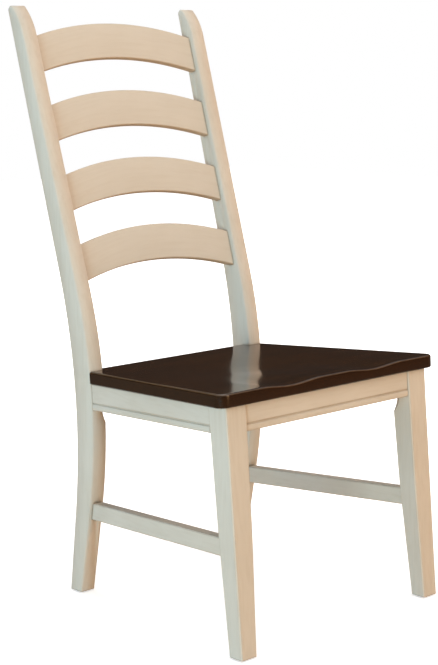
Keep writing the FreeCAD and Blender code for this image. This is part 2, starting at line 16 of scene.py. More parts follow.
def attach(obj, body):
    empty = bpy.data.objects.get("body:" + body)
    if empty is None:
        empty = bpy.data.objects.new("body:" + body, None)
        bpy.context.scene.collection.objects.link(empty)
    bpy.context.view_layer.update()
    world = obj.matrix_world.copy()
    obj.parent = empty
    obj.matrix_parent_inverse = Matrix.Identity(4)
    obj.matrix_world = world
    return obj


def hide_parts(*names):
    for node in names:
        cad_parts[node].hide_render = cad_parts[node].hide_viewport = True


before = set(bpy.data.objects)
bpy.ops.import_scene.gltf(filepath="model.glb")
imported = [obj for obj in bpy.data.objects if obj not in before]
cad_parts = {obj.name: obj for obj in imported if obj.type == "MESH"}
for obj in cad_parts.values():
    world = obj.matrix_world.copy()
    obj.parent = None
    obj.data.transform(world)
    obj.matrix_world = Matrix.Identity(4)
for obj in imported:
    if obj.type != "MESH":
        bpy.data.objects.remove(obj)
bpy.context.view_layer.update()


# %% [markdown]
# ## Small helpers
# The part's sizes are in millimetres and Blender works in metres, so one helper converts.
# Node trees are easier to read when one short call adds a node, sets its options and links
# its inputs. A value that is an output socket is linked, and anything else is typed in.

# %% Helpers for sizes and nodes
def mm(*sizes):
    metres = [size / 1000.0 for size in sizes]
    return metres[0] if len(metres) == 1 else Vector(metres)


def feed(tree, socket, value):
    if isinstance(value, bpy.types.NodeSocket):
        tree.links.new(value, socket)
    else:
        socket.default_value = value


def add_node(tree, kind, inputs=None, **options):
    node = tree.nodes.new(kind)
    for name, value in options.items():
        setattr(node, name, value)
    for name, value in (inputs or {}).items():
        feed(tree, node.inputs[name], value)
    return node


def calc(tree, operation, *values):
    return add_node(tree, "ShaderNodeMath", dict(enumerate(values)), operation=operation).outputs[0]


def times(tree, first, second):
    return calc(tree, "MULTIPLY", first, second)


def plus(tree, first, second):
    return calc(tree, "ADD", first, second)


def minus(tree, first, second):
    return calc(tree, "SUBTRACT", first, second)


def less(tree, value):
    return times(tree, value, -1.0)


def vector_calc(tree, operation, *values):
    node = add_node(tree, "ShaderNodeVectorMath", dict(enumerate(values)), operation=operation)
    return node.outputs["Value" if operation in ("DOT_PRODUCT", "LENGTH") else "Vector"]


def blend_colour(tree, amount, first, second):
    # A colour Mix node has its factor on input 0 and its two colours on inputs 6 and 7
    node = add_node(tree, "ShaderNodeMix", data_type="RGBA")
    for place, value in ((0, amount), (6, first), (7, second)):
        feed(tree, node.inputs[place], value)
    return node.outputs[2]


def spread(tree, value, low, high, to_low=0.0, to_high=1.0):
    # The values from low to high, spread over to_low to to_high and clamped there
    node = add_node(tree, "ShaderNodeMapRange", {"Value": value, "From Min": low, "From Max": high,
                                                 "To Min": to_low, "To Max": to_high})
    return node.outputs["Result"]


def parts_of(tree, vector):
    return add_node(tree, "ShaderNodeSeparateXYZ", {0: vector}).outputs


def colour(red, green, blue):
    return (red, green, blue, 1.0)


print("helpers ready")


# %% [markdown]
# ## The camera
# The photograph was taken a little above seat height, from the front left, with a long lens
# at about three metres. The view was solved from the corners of the legs, seat and posts, so
# the numbers here are those of the solved view and nothing in the model is bent to fit it.

# %% Place the camera
camera_place = mm(-2127.8, -2221.8, 1006.2)
camera_yaw = 43.78
camera_pitch = -9.40
camera_roll = -0.136
camera_lens = 89.50

camera_data = bpy.data.cameras.new("camera")
camera_data.lens = camera_lens
camera_data.sensor_fit = "VERTICAL"
camera_data.sensor_height = 36.0
camera = bpy.data.objects.new("camera", camera_data)
camera.location = camera_place
turns = [Matrix.Rotation(math.radians(angle), 3, axis) for angle, axis in
         ((-camera_yaw, "Z"), (90.0 + camera_pitch, "X"), (camera_roll, "Z"))]
camera.rotation_euler = (turns[0] @ turns[1] @ turns[2]).to_euler()
bpy.context.scene.collection.objects.link(camera)
bpy.context.scene.camera = camera
print("camera", [round(v, 3) for v in camera.location], "lens", camera_lens)


# %% [markdown]
# ## Grain and brush marks, as a shared node group
# Brushed paint, lacquered boards, bare blocks and drawn steel all have marks that run one way.
# One group serves them: it stretches the coordinates along the run, then adds a broad streak,
# a fine hair and slow cloudy blotches. Each material gives it its own scales.

# %% The running-marks group
NUMBER, VECTOR = "NodeSocketFloat", "NodeSocketVector"
GEOMETRY, MATERIAL = "NodeSocketGeometry", "NodeSocketMaterial"
socket_for = {float: NUMBER, int: "NodeSocketInt", tuple: VECTOR}


def group_of(name, takes, gives, kind="ShaderNodeTree"):
    # Each input has its first value, or the name of its type, and each output its type
    tree = bpy.data.node_groups.new(name, kind)
    for label, value in takes.items():
        first = type(value) in socket_for
        socket_type = socket_for[type(value)] if first else value
        socket = tree.interface.new_socket(name=label, in_out="INPUT", socket_type=socket_type)
        if first:
            socket.default_value = value
    for label, socket_type in gives.items():
        tree.interface.new_socket(name=label, in_out="OUTPUT", socket_type=socket_type)
    return tree, tree.nodes.new("NodeGroupInput").outputs, tree.nodes.new("NodeGroupOutput")


def give(tree, out, **values):
    for name, value in values.items():
        tree.links.new(value, out.inputs[name])


marks, taken, given = group_of(
    "running_marks",
    {"Vector": VECTOR, "Along": (1.0, 1.0, 0.05), "Streaks": 60.0, "Hairs": 500.0, "Clouds": 6.0},
    {"Streak": NUMBER, "Hair": NUMBER, "Cloud": NUMBER})
wander_size = 0.012


def noise(tree, where, scale, detail, roughness=0.5):
    return add_node(tree, "ShaderNodeTexNoise", {"Vector": where, "Scale": scale, "Detail": detail,
                                                 "Roughness": roughness}).outputs


wander = noise(marks, taken["Vector"], 9.0, 2.0)["Color"]
run = vector_calc(marks, "ADD", vector_calc(marks, "MULTIPLY", taken["Vector"], taken["Along"]),
                  vector_calc(marks, "MULTIPLY", wander, (wander_size,) * 3))
give(marks, given, Streak=noise(marks, run, taken["Streaks"], 5.0, 0.62)["Fac"],
     Hair=noise(marks, run, taken["Hairs"], 3.0, 0.7)["Fac"],
     Cloud=noise(marks, taken["Vector"], taken["Clouds"], 3.0)["Fac"])
print("group", marks.name, "with", len(marks.nodes), "nodes")


# %% [markdown]
# ## Eased edges and dark corners, as a shared node group
# Sanding rounds every edge of the real chair and rubs the finish a little thin there, and
# the thin brown glaze wiped over the paint stays behind in joints and quirks. The Bevel node
# looks for edges near each point and gives a rounded normal: where that differs from the
# flat one is an edge. Ambient Occlusion over a few millimetres finds the inside corners,
# which the materials darken: painted shade, and in the paint also the glaze.
# Ease is the bevel's radius and Reach the distance that the occlusion looks, both in metres.

# %% The edge group
edges, taken, given = group_of("edges_and_corners", {"Ease": 0.0024, "Reach": 0.006},
                               {"Edge": NUMBER, "Corner": NUMBER, "Normal": VECTOR})
eased = add_node(edges, "ShaderNodeBevel", {"Radius": taken["Ease"]}, samples=6)
flat = add_node(edges, "ShaderNodeNewGeometry")
likeness = vector_calc(edges, "DOT_PRODUCT", eased.outputs["Normal"], flat.outputs["Normal"])
edge = spread(edges, likeness, 0.997, 0.90)
shade = add_node(edges, "ShaderNodeAmbientOcclusion", {"Distance": taken["Reach"]}, samples=8)
corner = spread(edges, shade.outputs["AO"], 0.92, 0.45)
give(edges, given, Edge=edge, Corner=corner, Normal=eased.outputs["Normal"])
print("group", edges.name, "with", len(edges.nodes), "nodes")


# %% [markdown]
# ## The cream paint
# The frame of the chair wears an off-white antique paint, brushed along each piece, with a
# thin glaze wiped over it: faint streaks, a browner line in the joints and the bead's quirk,
# and tan rubbed edges. The browner inside corners are partly that glaze and partly painted
# shade, and the lower edge of each slat gets a painted warm light from below. Legs, cross
# boards and side boards run three different ways, so one function makes the paint for each
# direction, and the slats follow their own bend.

# %% Paint for each direction of the grain
cream = colour(0.610, 0.560, 0.485)
# Tan for the rubbed edges, and for the painted warm light under the slats
streak_cream = colour(0.485, 0.415, 0.325)
rubbed_and_underlit_tan = colour(0.440, 0.315, 0.205)
# Brown for the glaze in joints and for the painted shade in inside corners
glaze_and_shade_brown = colour(0.310, 0.225, 0.140)


def empty_tree(owner):
    owner.use_nodes = True
    owner.node_tree.nodes.clear()
    return owner.node_tree


def new_material(name):
    material = bpy.data.materials.new(name)
    tree = empty_tree(material)
    shader = tree.nodes.new("ShaderNodeBsdfPrincipled")
    output = tree.nodes.new("ShaderNodeOutputMaterial")
    tree.links.new(shader.outputs[0], output.inputs[0])
    return material, tree, shader


def place_group(tree, group, **values):
    return add_node(tree, "ShaderNodeGroup", values, node_tree=group).outputs


def marks_at(tree, where, along, streaks, hairs, clouds):
    return place_group(tree, marks, Vector=where, Along=along, Streaks=streaks, Hairs=hairs,
                       Clouds=clouds)


def connect(tree, shader, base, rough, strength, distance, height, normal=None):
    # The three inputs that every finish here varies: colour, roughness and a bumped normal
    bump = add_node(tree, "ShaderNodeBump", {"Strength": strength, "Distance": distance,
                                             "Height": height})
    if normal:
        tree.links.new(normal, bump.inputs["Normal"])
    for name, value in (("Base Color", base), ("Roughness", rough), ("Normal", bump.outputs[0])):
        tree.links.new(value, shader.inputs[name])


def coordinates(tree, kind="Object"):
    return tree.nodes.new("ShaderNodeTexCoord").outputs[kind]


def painted(name, along, place=coordinates, streaky=0.26, ease=0.0024, dress=None):
    # Streaky is how strong the brush streaks are, and dress may add a last layer of colour
    material, tree, shader = new_material(name)
    where = place(tree)
    grain = marks_at(tree, where, along, 150.0, 620.0, 7.0)
    edges_and_shade = place_group(tree, edges, Ease=ease, Reach=0.0055)
    streaks = spread(tree, grain["Streak"], 0.45, 0.68, 0.0, streaky)
    clouds = spread(tree, grain["Cloud"], 0.40, 0.72, 0.0, 0.22)
    base = blend_colour(tree, streaks, cream, streak_cream)
    base = blend_colour(tree, clouds, base, streak_cream)
    patchy = spread(tree, grain["Cloud"], 0.35, 0.62, 0.30, 0.85)
    rub = times(tree, edges_and_shade["Edge"], patchy)
    base = blend_colour(tree, rub, base, rubbed_and_underlit_tan)
    # Inside corners turn browner: partly the glaze left in joints and quirks, partly painted shade
    glaze_and_corner_shade = times(tree, edges_and_shade["Corner"], 0.50)
    base = blend_colour(tree, glaze_and_corner_shade, base, glaze_and_shade_brown)
    if dress:
        base = dress(tree, base, where)
    height = plus(tree, times(tree, grain["Hair"], 0.4), grain["Streak"])
    rough = spread(tree, grain["Hair"], 0.3, 0.7, 0.40, 0.56)
    connect(tree, shader, base, rough, 0.16, 0.0006, height, edges_and_shade["Normal"])
    shader.inputs["IOR"].default_value = 1.45
    shader.inputs["Specular IOR Level"].default_value = 0.35
    return material


def grain_attribute(tree):
    return add_node(tree, "ShaderNodeAttribute", attribute_name="grain").outputs["Vector"]


def painted_underside_light(tree, base, where):
    # Painted light: a warm tan along the lower edge of each slat, as if lit from the floor below
    low = spread(tree, parts_of(tree, where)["Z"], -0.0320, -0.0343, 0.0, 0.80)
    return blend_colour(tree, low, base, rubbed_and_underlit_tan)


paint_upright = painted("cream_paint_upright", (1.0, 1.0, 0.06))
paint_across = painted("cream_paint_across", (0.06, 1.0, 1.0))
paint_sideways = painted("cream_paint_sideways", (1.0, 0.06, 1.0))
paint_bent = painted("cream_paint_bent", (0.06, 1.0, 1.0), grain_attribute, streaky=0.20,
                     ease=0.0009, dress=painted_underside_light)
print("paints", [m.name for m in (paint_upright, paint_across, paint_sideways, paint_bent)])


# %% [markdown]
# ## The dark lacquered seat
# The seat is a glued-up board stained to espresso and lacquered, so that it mirrors the back
# of the chair at a low angle. The colour comes from dark stain with redder grain lines. Faces
# turned to the side get a darker stain, which is painted shade, and a thin patchy gold line
# where the top rolls over the edge is partly rubbed wear and partly a painted highlight. The
# direction that a face is turned to finds both. A low roughness gives the gloss, and a faint
# long wave in the film makes the mirrored lines waver a little.

# %% Seat finish
stain = colour(0.0425, 0.0203, 0.0084)
stain_red = colour(0.068, 0.0300, 0.0120)
stain_deep = colour(0.0170, 0.0092, 0.0056)
side_shade_stain = colour(0.0230, 0.0085, 0.0025)
gold_rub_and_highlight = colour(0.135, 0.082, 0.038)

seat_finish, tree, shader = new_material("espresso_lacquer")
where = coordinates(tree)
grain = marks_at(tree, where, (0.05, 1.0, 1.0), 85.0, 900.0, 5.0)
base = blend_colour(tree, spread(tree, grain["Streak"], 0.40, 0.68), stain, stain_red)
base = blend_colour(tree, spread(tree, grain["Hair"], 0.52, 0.72, 0.0, 0.55), base, stain_deep)
base = blend_colour(tree, spread(tree, grain["Cloud"], 0.35, 0.75, 0.0, 0.35), base, stain_deep)
turned_up = parts_of(tree, coordinates(tree, "Normal"))["Z"]
# Painted shade: faces turned to the side get the darker stain
painted_side_shade = spread(tree, turned_up, 0.15, 0.60, 0.80, 0.0)
base = blend_colour(tree, painted_side_shade, base, side_shade_stain)
# Partly rubbed wear, partly a painted highlight: a thin patchy gold line where the top rolls over
rolled_over = times(tree, spread(tree, turned_up, 0.40, 0.58),
                   spread(tree, turned_up, 0.84, 0.70))
patches = spread(tree, grain["Hair"], 0.44, 0.62, 0.05, 0.75)
base = blend_colour(tree, times(tree, rolled_over, patches), base, gold_rub_and_highlight)
film = noise(tree, where, 16.0, 1.0)["Fac"]
height = plus(tree, film, times(tree, grain["Hair"], 0.012))
rough = spread(tree, grain["Cloud"], 0.3, 0.7, 0.10, 0.17)
connect(tree, shader, base, rough, 0.10, 0.0012, height)
shader.inputs["IOR"].default_value = 1.5
print("seat finish", seat_finish.name)


# %% [markdown]
# ## Bare wood, zinced steel and black nylon
# Under the seat the corner blocks are left unpainted, the screws and bolts are zinced steel,
# and each foot has a nylon glide. They are small, but they are seen from below. The blocks
# and the steel pieces are darker in their inside corners, which is painted shade.

# %% Hidden finishes
def bare_wood(name, along, pale, dark):
    material, tree, shader = new_material(name)
    grain = marks_at(tree, coordinates(tree), along, 95.0, 800.0, 9.0)
    edges_and_shade = place_group(tree, edges, Ease=0.0010, Reach=0.005)
    base = blend_colour(tree, spread(tree, grain["Streak"], 0.38, 0.66), pale, dark)
    base = blend_colour(tree, spread(tree, grain["Hair"], 0.55, 0.72, 0.0, 0.6), base, dark)
    # Painted shade: darker in the inside corners
    base = blend_colour(tree, times(tree, edges_and_shade["Corner"], 0.5), base, dark)
    rough = spread(tree, grain["Hair"], 0.3, 0.7, 0.6, 0.8)
    connect(tree, shader, base, rough, 0.25, 0.0005, grain["Streak"], edges_and_shade["Normal"])
    return material


block_wood = bare_wood("bare_block_wood", (1.0, 1.0, 0.08), colour(0.50, 0.36, 0.21),
                       colour(0.33, 0.21, 0.11))
dowel_wood = bare_wood("beech_dowel_wood", (1.0, 0.08, 1.0), colour(0.56, 0.40, 0.24),
                       colour(0.42, 0.27, 0.15))

steel, tree, shader = new_material("zinced_steel")
grain = marks_at(tree, coordinates(tree), (1.0, 1.0, 1.0), 260.0, 1500.0, 40.0)
edges_and_shade = place_group(tree, edges, Ease=0.0004, Reach=0.002)
base = blend_colour(tree, spread(tree, grain["Streak"], 0.35, 0.7), colour(0.60, 0.60, 0.58),
                    colour(0.47, 0.46, 0.43))
# Painted shade: darker in the inside corners
base = blend_colour(tree, times(tree, edges_and_shade["Corner"], 0.6), base,
                    colour(0.16, 0.14, 0.12))
rough = spread(tree, grain["Hair"], 0.3, 0.7, 0.26, 0.44)
connect(tree, shader, base, rough, 0.1, 0.0002, grain["Hair"], edges_and_shade["Normal"])
shader.inputs["Metallic"].default_value = 1.0

nylon, tree, shader = new_material("black_nylon")
grain = marks_at(tree, coordinates(tree), (1.0, 1.0, 1.0), 300.0, 1800.0, 60.0)
base = blend_colour(tree, spread(tree, grain["Cloud"], 0.3, 0.7), colour(0.020, 0.019, 0.018),
                    colour(0.045, 0.042, 0.039))
rough = spread(tree, grain["Streak"], 0.3, 0.7, 0.42, 0.62)
connect(tree, shader, base, rough, 0.15, 0.0002, grain["Hair"])
print("hidden finishes", block_wood.name, dowel_wood.name, steel.name, nylon.name)


# %% [markdown]
# ## Finishes on the CAD pieces
# The front legs, boards, stretchers, blocks and dowels already have the shape of the sawn
# wood, so they stay and only their material changes. Each gets the paint whose marks run its
# way. The posts, slats, seat, metal pieces and glides are made anew in the cells below.

# %% Dress the CAD nodes
def pair(name):
    return [name + "_left", name + "_right"]


finish_of = {paint_upright: pair("front_leg"), paint_across: ["front_apron", "rear_apron"],
             paint_sideways: pair("side_apron") + pair("side_stretcher"),
             block_wood: pair("corner_block_front") + pair("corner_block_rear"),
             dowel_wood: ["apron_dowels"]}
for material, names in finish_of.items():
    for name in names:
        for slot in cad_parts[name].material_slots:
            slot.material = material
    print(material.name, "on", len(names), "nodes")


# %% [markdown]
# ## From a mesh to a finished piece
# A new piece is linked to the scene, with its sharp edges marked by their angle so that flat
# faces stay flat and rounded ones shade smoothly.

# %% Helpers for pieces
def linked_piece(name, mesh, smooth_angle=35.0):
    mesh.shade_smooth()
    mesh.set_sharp_from_angle(angle=math.radians(smooth_angle))
    piece = bpy.data.objects.new(name, mesh)
    bpy.context.scene.collection.objects.link(piece)
    return piece


def piece_from(drawn, name, material):
    mesh = bpy.data.meshes.new(name)
    drawn.to_mesh(mesh)
    drawn.free()
    mesh.materials.append(material)
    return linked_piece(name, mesh)


def cad_copy(name):
    # A merged copy of a CAD node, whose own mesh is loose triangles and is left alone
    mesh = bmesh.new()
    mesh.from_mesh(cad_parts[name].data)
    bmesh.ops.remove_doubles(mesh, verts=mesh.verts, dist=mm(0.01))
    return mesh


def hand_over(piece, node):
    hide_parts(node)
    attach(piece, "root")


print("piece helpers ready")


# %% [markdown]
# ## The rear posts
# A rear post is one sawn plank, straight at its foot, curved at the seat and raked above it.
# The flat for the corner block belongs on its inner corner below the seat only, but in the
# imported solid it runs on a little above. So each visible post is a merged copy that is cut
# level inside the seat's thickness, and above the cut both edges of the flat are moved back to
# the narrow arris that the rest of the corner has.

# %% Close the corner above the seat
flat_end, flat_top, arris = mm(424.0), mm(461.8), mm(2.2)
second_cut, slack = mm(0.2), mm(0.05)
line_low, line_high, line_side = mm(400.0), mm(470.0), mm(210.0)
touching, weld_arris, weld_all, shortest_edge = mm(0.01), mm(0.3), mm(0.02), mm(0.005)


def verts_of(mesh, fits):
    # The corners of the faces whose normal fits
    return {vert for face in mesh.faces if fits(face.normal) for vert in face.verts}


def closed_post(name, way):
    # Way is 1 for the left post and -1 for the right: the side that its inner face looks to
    post = cad_copy(name)
    for height in (flat_end - second_cut, flat_end):
        bmesh.ops.bisect_plane(post, geom=post.verts[:] + post.edges[:] + post.faces[:],
                               dist=1e-7, plane_co=(0.0, 0.0, height), plane_no=(0.0, 0.0, 1.0))
    post.normal_update()
    inner = max((face for face in post.faces if face.normal.x * way > 0.99),
                key=lambda face: face.calc_area())
    out, spot = inner.normal.copy(), inner.verts[0].co.copy()
    flat = verts_of(post, lambda n: (n.x * way > 0.5 and n.y < -0.5) or n.z < -0.9)
    front = verts_of(post, lambda n: n.y < -0.9 and abs(n.x) < 0.1)
    band = [vert for vert in post.verts
            if vert in flat and flat_end - slack < vert.co.z < flat_top]
    # The front face's own line, read before anything moves: its depth at each height
    line = sorted((vert.co.z, vert.co.y) for vert in front
                  if line_low < vert.co.z < line_high and abs(vert.co.x) < line_side)
    heights, fronts = zip(*line)
    for vert in band:
        depth = (vert.co - spot).dot(out)
        front_y = float(np.interp(vert.co.z, heights, fronts))
        if depth > -touching:
            vert.co.y = front_y + arris
        else:
            vert.co += out * (-arris - depth)
            vert.co.y = front_y
    bmesh.ops.remove_doubles(post, verts=band, dist=weld_arris)
    bmesh.ops.remove_doubles(post, verts=post.verts, dist=weld_all)
    bmesh.ops.dissolve_degenerate(post, dist=shortest_edge, edges=post.edges)
    return post


for side, way in (("left", 1.0), ("right", -1.0)):
    post_piece = piece_from(closed_post("rear_post_" + side, way), "post_" + side, paint_upright)
    hand_over(post_piece, "rear_post_" + side)


# %% [markdown]
# ## The ladder slats
# A slat is a flat board steamed to a double curve: it arches upwards between the posts and
# bows backwards for the sitter's spine. All four follow the same rule with slightly different
# lengths, so one Geometry Nodes tree makes them. These helpers start a tree from its named
# inputs, draw a rounded section, move and join parts, and end the tree with its material.

# %% Helpers for geometry trees
def tree_of(name, takes):
    tree, taken, given = group_of(name, {**takes, "Material": MATERIAL},
                                  {"Geometry": GEOMETRY}, "GeometryNodeTree")
    tree.is_modifier = True
    return tree, taken, given


def geo(tree, kind, inputs=None, **options):
    # The first output of a new geometry node
    return add_node(tree, "GeometryNode" + kind, inputs, **options).outputs[0]


def xyz(tree, x=0.0, y=0.0, z=0.0):
    return add_node(tree, "ShaderNodeCombineXYZ", {"X": x, "Y": y, "Z": z}).outputs[0]


def rounded_section(tree, width, height, radius, steps):
    section = geo(tree, "CurvePrimitiveQuadrilateral", {"Width": width, "Height": height})
    return geo(tree, "FilletCurve", {"Curve": section, "Radius": radius, "Count": steps},
               mode="POLY")


def moved(tree, part, where, turn=(0.0, 0.0, 0.0)):
    return geo(tree, "Transform", {"Geometry": part, "Translation": where, "Rotation": turn})


def joined(tree, parts):
    whole = tree.nodes.new("GeometryNodeJoinGeometry")
    for part in parts:
        tree.links.new(part, whole.inputs[0])
    return whole.outputs[0]


def end_tree(tree, taken, given, geometry):
    real = geo(tree, "RealizeInstances", {0: geometry})
    dressed = geo(tree, "SetMaterial", {0: real, "Material": taken["Material"]})
    tree.links.new(dressed, given.inputs[0])
    print("tree", tree.name, "with", len(tree.nodes), "nodes")
    return tree


print("geometry helpers ready")


# %% [markdown]
# The board starts straight: a rounded section swept along a line, a little longer than the
# free part so that it ends inside the posts. A tenon follows at each end, unbent.

# %% The straight board and its tenons
tree, taken, given = tree_of("arched_slat", {
    "Half Length": 0.2, "Height": 0.0695, "Thickness": 0.015, "Arch": 0.0295, "Bow": 0.005,
    "Round": 0.0022, "Into Post": 0.0008, "Tenon Height": 0.046, "Tenon Thickness": 0.008,
    "Tenon Length": 0.018, "Stations": 97, "Rake": 0.2915, "Place": VECTOR})
half = plus(tree, taken["Half Length"], taken["Into Post"])
line = geo(tree, "CurvePrimitiveLine",
           {"Start": xyz(tree, x=less(tree, half)), "End": xyz(tree, x=half)})
line = geo(tree, "ResampleCurve", {"Curve": line, "Count": taken["Stations"]})
section = rounded_section(tree, taken["Thickness"], taken["Height"], taken["Round"], 5)
bar = geo(tree, "CurveToMesh", {"Curve": line, "Profile Curve": section, "Fill Caps": True})
tenon_middle = plus(tree, taken["Half Length"], times(tree, taken["Tenon Length"], 0.5))
tenon = geo(tree, "MeshCube",
            {"Size": xyz(tree, taken["Tenon Length"], taken["Tenon Thickness"],
                         taken["Tenon Height"]), "Vertices X": 3, "Vertices Z": 4})
ends = [moved(tree, tenon, xyz(tree, x=times(tree, tenon_middle, side))) for side in (-1.0, 1.0)]
print("tenons", len(ends))


# %% [markdown]
# The place of each point on the straight board is stored first, so that the grain can follow
# the bend. Each point is then lowered and shifted by the sagitta of its arc, the slat is raked
# with the back of the chair, and it is moved to its place.

# %% Bend and rake the board
spot = geo(tree, "InputPosition")
straight = geo(tree, "StoreNamedAttribute", {"Geometry": bar, "Name": "grain", "Value": spot},
               data_type="FLOAT_VECTOR", domain="POINT")


def sagitta(tree, across, half_length, rise):
    # How far an arc of this rise over this half length has fallen at a distance from its top
    square = times(tree, half_length, half_length)
    top = plus(tree, square, times(tree, rise, rise))
    radius = calc(tree, "DIVIDE", top, times(tree, rise, 2.0))
    inside = minus(tree, times(tree, radius, radius), times(tree, across, across))
    return minus(tree, radius, calc(tree, "SQRT", inside))


across = parts_of(tree, spot)["X"]
fall = sagitta(tree, across, taken["Half Length"], taken["Arch"])
back = sagitta(tree, across, taken["Half Length"], taken["Bow"])
bent = geo(tree, "SetPosition",
           {"Geometry": straight, "Offset": xyz(tree, y=minus(tree, taken["Bow"], back),
                                                z=minus(tree, taken["Arch"], fall))})
raked = moved(tree, joined(tree, ends + [bent]), taken["Place"],
              xyz(tree, x=less(tree, taken["Rake"])))
slat_tree = end_tree(tree, taken, given, raked)


# %% [markdown]
# The tree goes on an empty mesh as a modifier, and its own sizes are set by each socket's
# identifier before the first evaluation. The result is baked to a plain mesh, so the finished
# slat carries no modifier.

# %% Bake a tree to a plain piece
def evaluated_mesh(piece):
    evaluated = piece.evaluated_get(bpy.context.evaluated_depsgraph_get())
    return bpy.data.meshes.new_from_object(evaluated)


def baked(name, tree, smooth_angle=35.0, host_mesh=None, **sizes):
    host = bpy.data.objects.new(name + "_host", host_mesh or bpy.data.meshes.new(name + "_host"))
    bpy.context.scene.collection.objects.link(host)
    modifier = host.modifiers.new("tree", "NODES")
    modifier.node_group = tree
    keys = {item.name: item.identifier for item in tree.interface.items_tree
            if item.item_type == "SOCKET" and item.in_out == "INPUT"}
    for label, value in sizes.items():
        modifier[keys[label.replace("_", " ")]] = value
    mesh = evaluated_mesh(host)
    mesh.name = name
    bpy.data.objects.remove(host)
    return linked_piece(name, mesh, smooth_angle)


print("baking is ready")


# %% [markdown]
# The CAD draws the chair with Y counted from the front feet, and then moves it so that its
# middle is at Y = 0. The slats hang down the line that leads from the front corner of the ears
# along the rake of the back, each a pitch below the last, and the posts draw together a little
# towards the seat, so each slat is shorter than the one above.

# %% The four slats
middle_y = 326.8082
ear_y, ear_z = 617.2601 - middle_y, 1081.9
rake = math.radians(16.7)
slat_half_lengths = [197.5346, 196.1865, 194.8383, 193.4902]
slat_pitch, slat_top_drop, slat_setback = 134.4, 2.0, 10.7
slat_height, slat_thickness, slat_arch = 69.5, 15.0, 29.5

for index, half_length in enumerate(slat_half_lengths):
    up = -slat_top_drop - index * slat_pitch - slat_arch - slat_height / 2.0
    rearwards = slat_setback + slat_thickness / 2.0
    place = mm(0.0, ear_y + rearwards * math.cos(rake) + up * math.sin(rake),
               ear_z - rearwards * math.sin(rake) + up * math.cos(rake))
    slat = baked("slat_%d" % (index + 1), slat_tree, Half_Length=mm(half_length), Rake=rake,
                 Place=place, Material=paint_bent)
    hand_over(slat, "ladder_slat_%d" % (index + 1))


# %% [markdown]
# ## The dished seat
# The seat is one thick board: rounded edge, a shallow dish for the sitter and two thigh
# hollows that run out through the front edge. A mirror-like lacquer shows every facet, so it
# is built as rings: the outline is walked once, drawn inwards step by step to the middle, and
# each point gets its height from the rule of the scoop. The slots for the posts are cut last.

# %% Seat sizes and the rule of its scoop
seat_tilt = math.radians(3.2)
seat_underside, seat_thickness = 436.8, 24.0
seat_front_half, seat_back_half = 279.2, 224.6
seat_front_y, seat_back_y, seat_post_y = 28.3, 456.4906, 434.8906
seat_corner, seat_round, seat_chamfer = 18.0, 4.5, 2.0
dish_depth, dish_half_width, dish_margin, dish_rise = 7.0, 205.0, 45.0, 228.0
thigh_depth, thigh_place, thigh_half_width, thigh_fade = 4.8, 107.0, 72.0, 190.0


def bump_at(t):
    return (1.0 - t * t) ** 2 if abs(t) < 1.0 else 0.0


def ramp(t):
    t = min(max(t, 0.0), 1.0)
    return t * t * (3.0 - 2.0 * t)


def scooped(x, y):
    # The height of the top: level at the back, thigh hollows in front and one dish behind them
    back = ramp((seat_back_y - dish_margin - y) / dish_rise)
    blend = ramp((y - seat_front_y) / thigh_fade)
    dish = dish_depth * bump_at(x / dish_half_width)
    thighs = thigh_depth * (bump_at((x - thigh_place) / thigh_half_width)
                            + bump_at((x + thigh_place) / thigh_half_width))
    return seat_thickness - back * (blend * dish + (1.0 - blend) * thighs)


def seat_outline(inset, across=90, round_corner=16, along=60):
    # The edge of the seat in plan, counter-clockwise, drawn in by this much
    slope = (seat_front_half - seat_back_half) / (seat_post_y - seat_front_y)
    lean = math.atan(slope)

    def half_at(y):
        return seat_front_half - slope * (y - seat_front_y) - inset / math.cos(lean)

    front, rear = seat_front_y + inset, seat_back_y - inset
    r = seat_corner - inset
    turn = math.radians(90.0) + lean
    x, y = half_at(front) - r * math.tan(turn / 2.0), front + r
    front_edge = [(-x + 2.0 * x * i / across, front) for i in range(across)]
    steps = [turn * i / round_corner for i in range(round_corner + 1)]
    corner = [(x + r * math.sin(step), y - r * math.cos(step)) for step in steps]
    start_x, start_y = corner[-1]
    side = [(start_x + (half_at(rear) - start_x) * i / along,
             start_y + (rear - start_y) * i / along) for i in range(1, along + 1)]
    rear_edge = [(half_at(rear) * (1.0 - 2.0 * i / across), rear) for i in range(1, across)]
    mirrored = [(-x, y) for x, y in reversed(corner + side)]
    return front_edge + corner + side + rear_edge + mirrored[:-1]


def seat_place(x, y, z):
    return mm(x, y * math.cos(seat_tilt) + z * math.sin(seat_tilt) - middle_y,
              seat_underside - y * math.sin(seat_tilt) + z * math.cos(seat_tilt))


print("outline points", len(seat_outline(0.0)), "deepest dish",
      round(seat_thickness - scooped(0, 300), 2), "mm")


# %% Seat mesh
seat_mesh = bmesh.new()


def ring(points):
    return [seat_mesh.verts.new(seat_place(*point)) for point in points]


def next_in(points, i):
    return points[(i + 1) % len(points)]


edge_line = seat_outline(seat_round)
rings = [ring([(x, y, 0.0) for x, y in seat_outline(seat_chamfer)]),
         ring([(x, y, seat_chamfer) for x, y in seat_outline(0.0)])]
round_steps, in_steps, centre_y = 10, 72, 250.0
for step in range(round_steps):
    turn = math.radians(90.0) * step / round_steps
    inset = seat_round * (1.0 - math.cos(turn))
    fall = seat_round * (1.0 - math.sin(turn))
    rings.append(ring([(x, y, scooped(ex, ey) - fall) for (x, y), (ex, ey)
                       in zip(seat_outline(inset), edge_line)]))
for step in range(in_steps):
    share = 1.0 - step / in_steps
    spots = [(x * share, centre_y + (y - centre_y) * share) for x, y in edge_line]
    rings.append(ring([(x, y, scooped(x, y)) for x, y in spots]))
for lower, upper in zip(rings, rings[1:]):
    for i in range(len(lower)):
        seat_mesh.faces.new((lower[i], next_in(lower, i), next_in(upper, i), upper[i]))
top, under = ring([(0.0, centre_y, scooped(0.0, centre_y)), (0.0, centre_y, 0.0)])
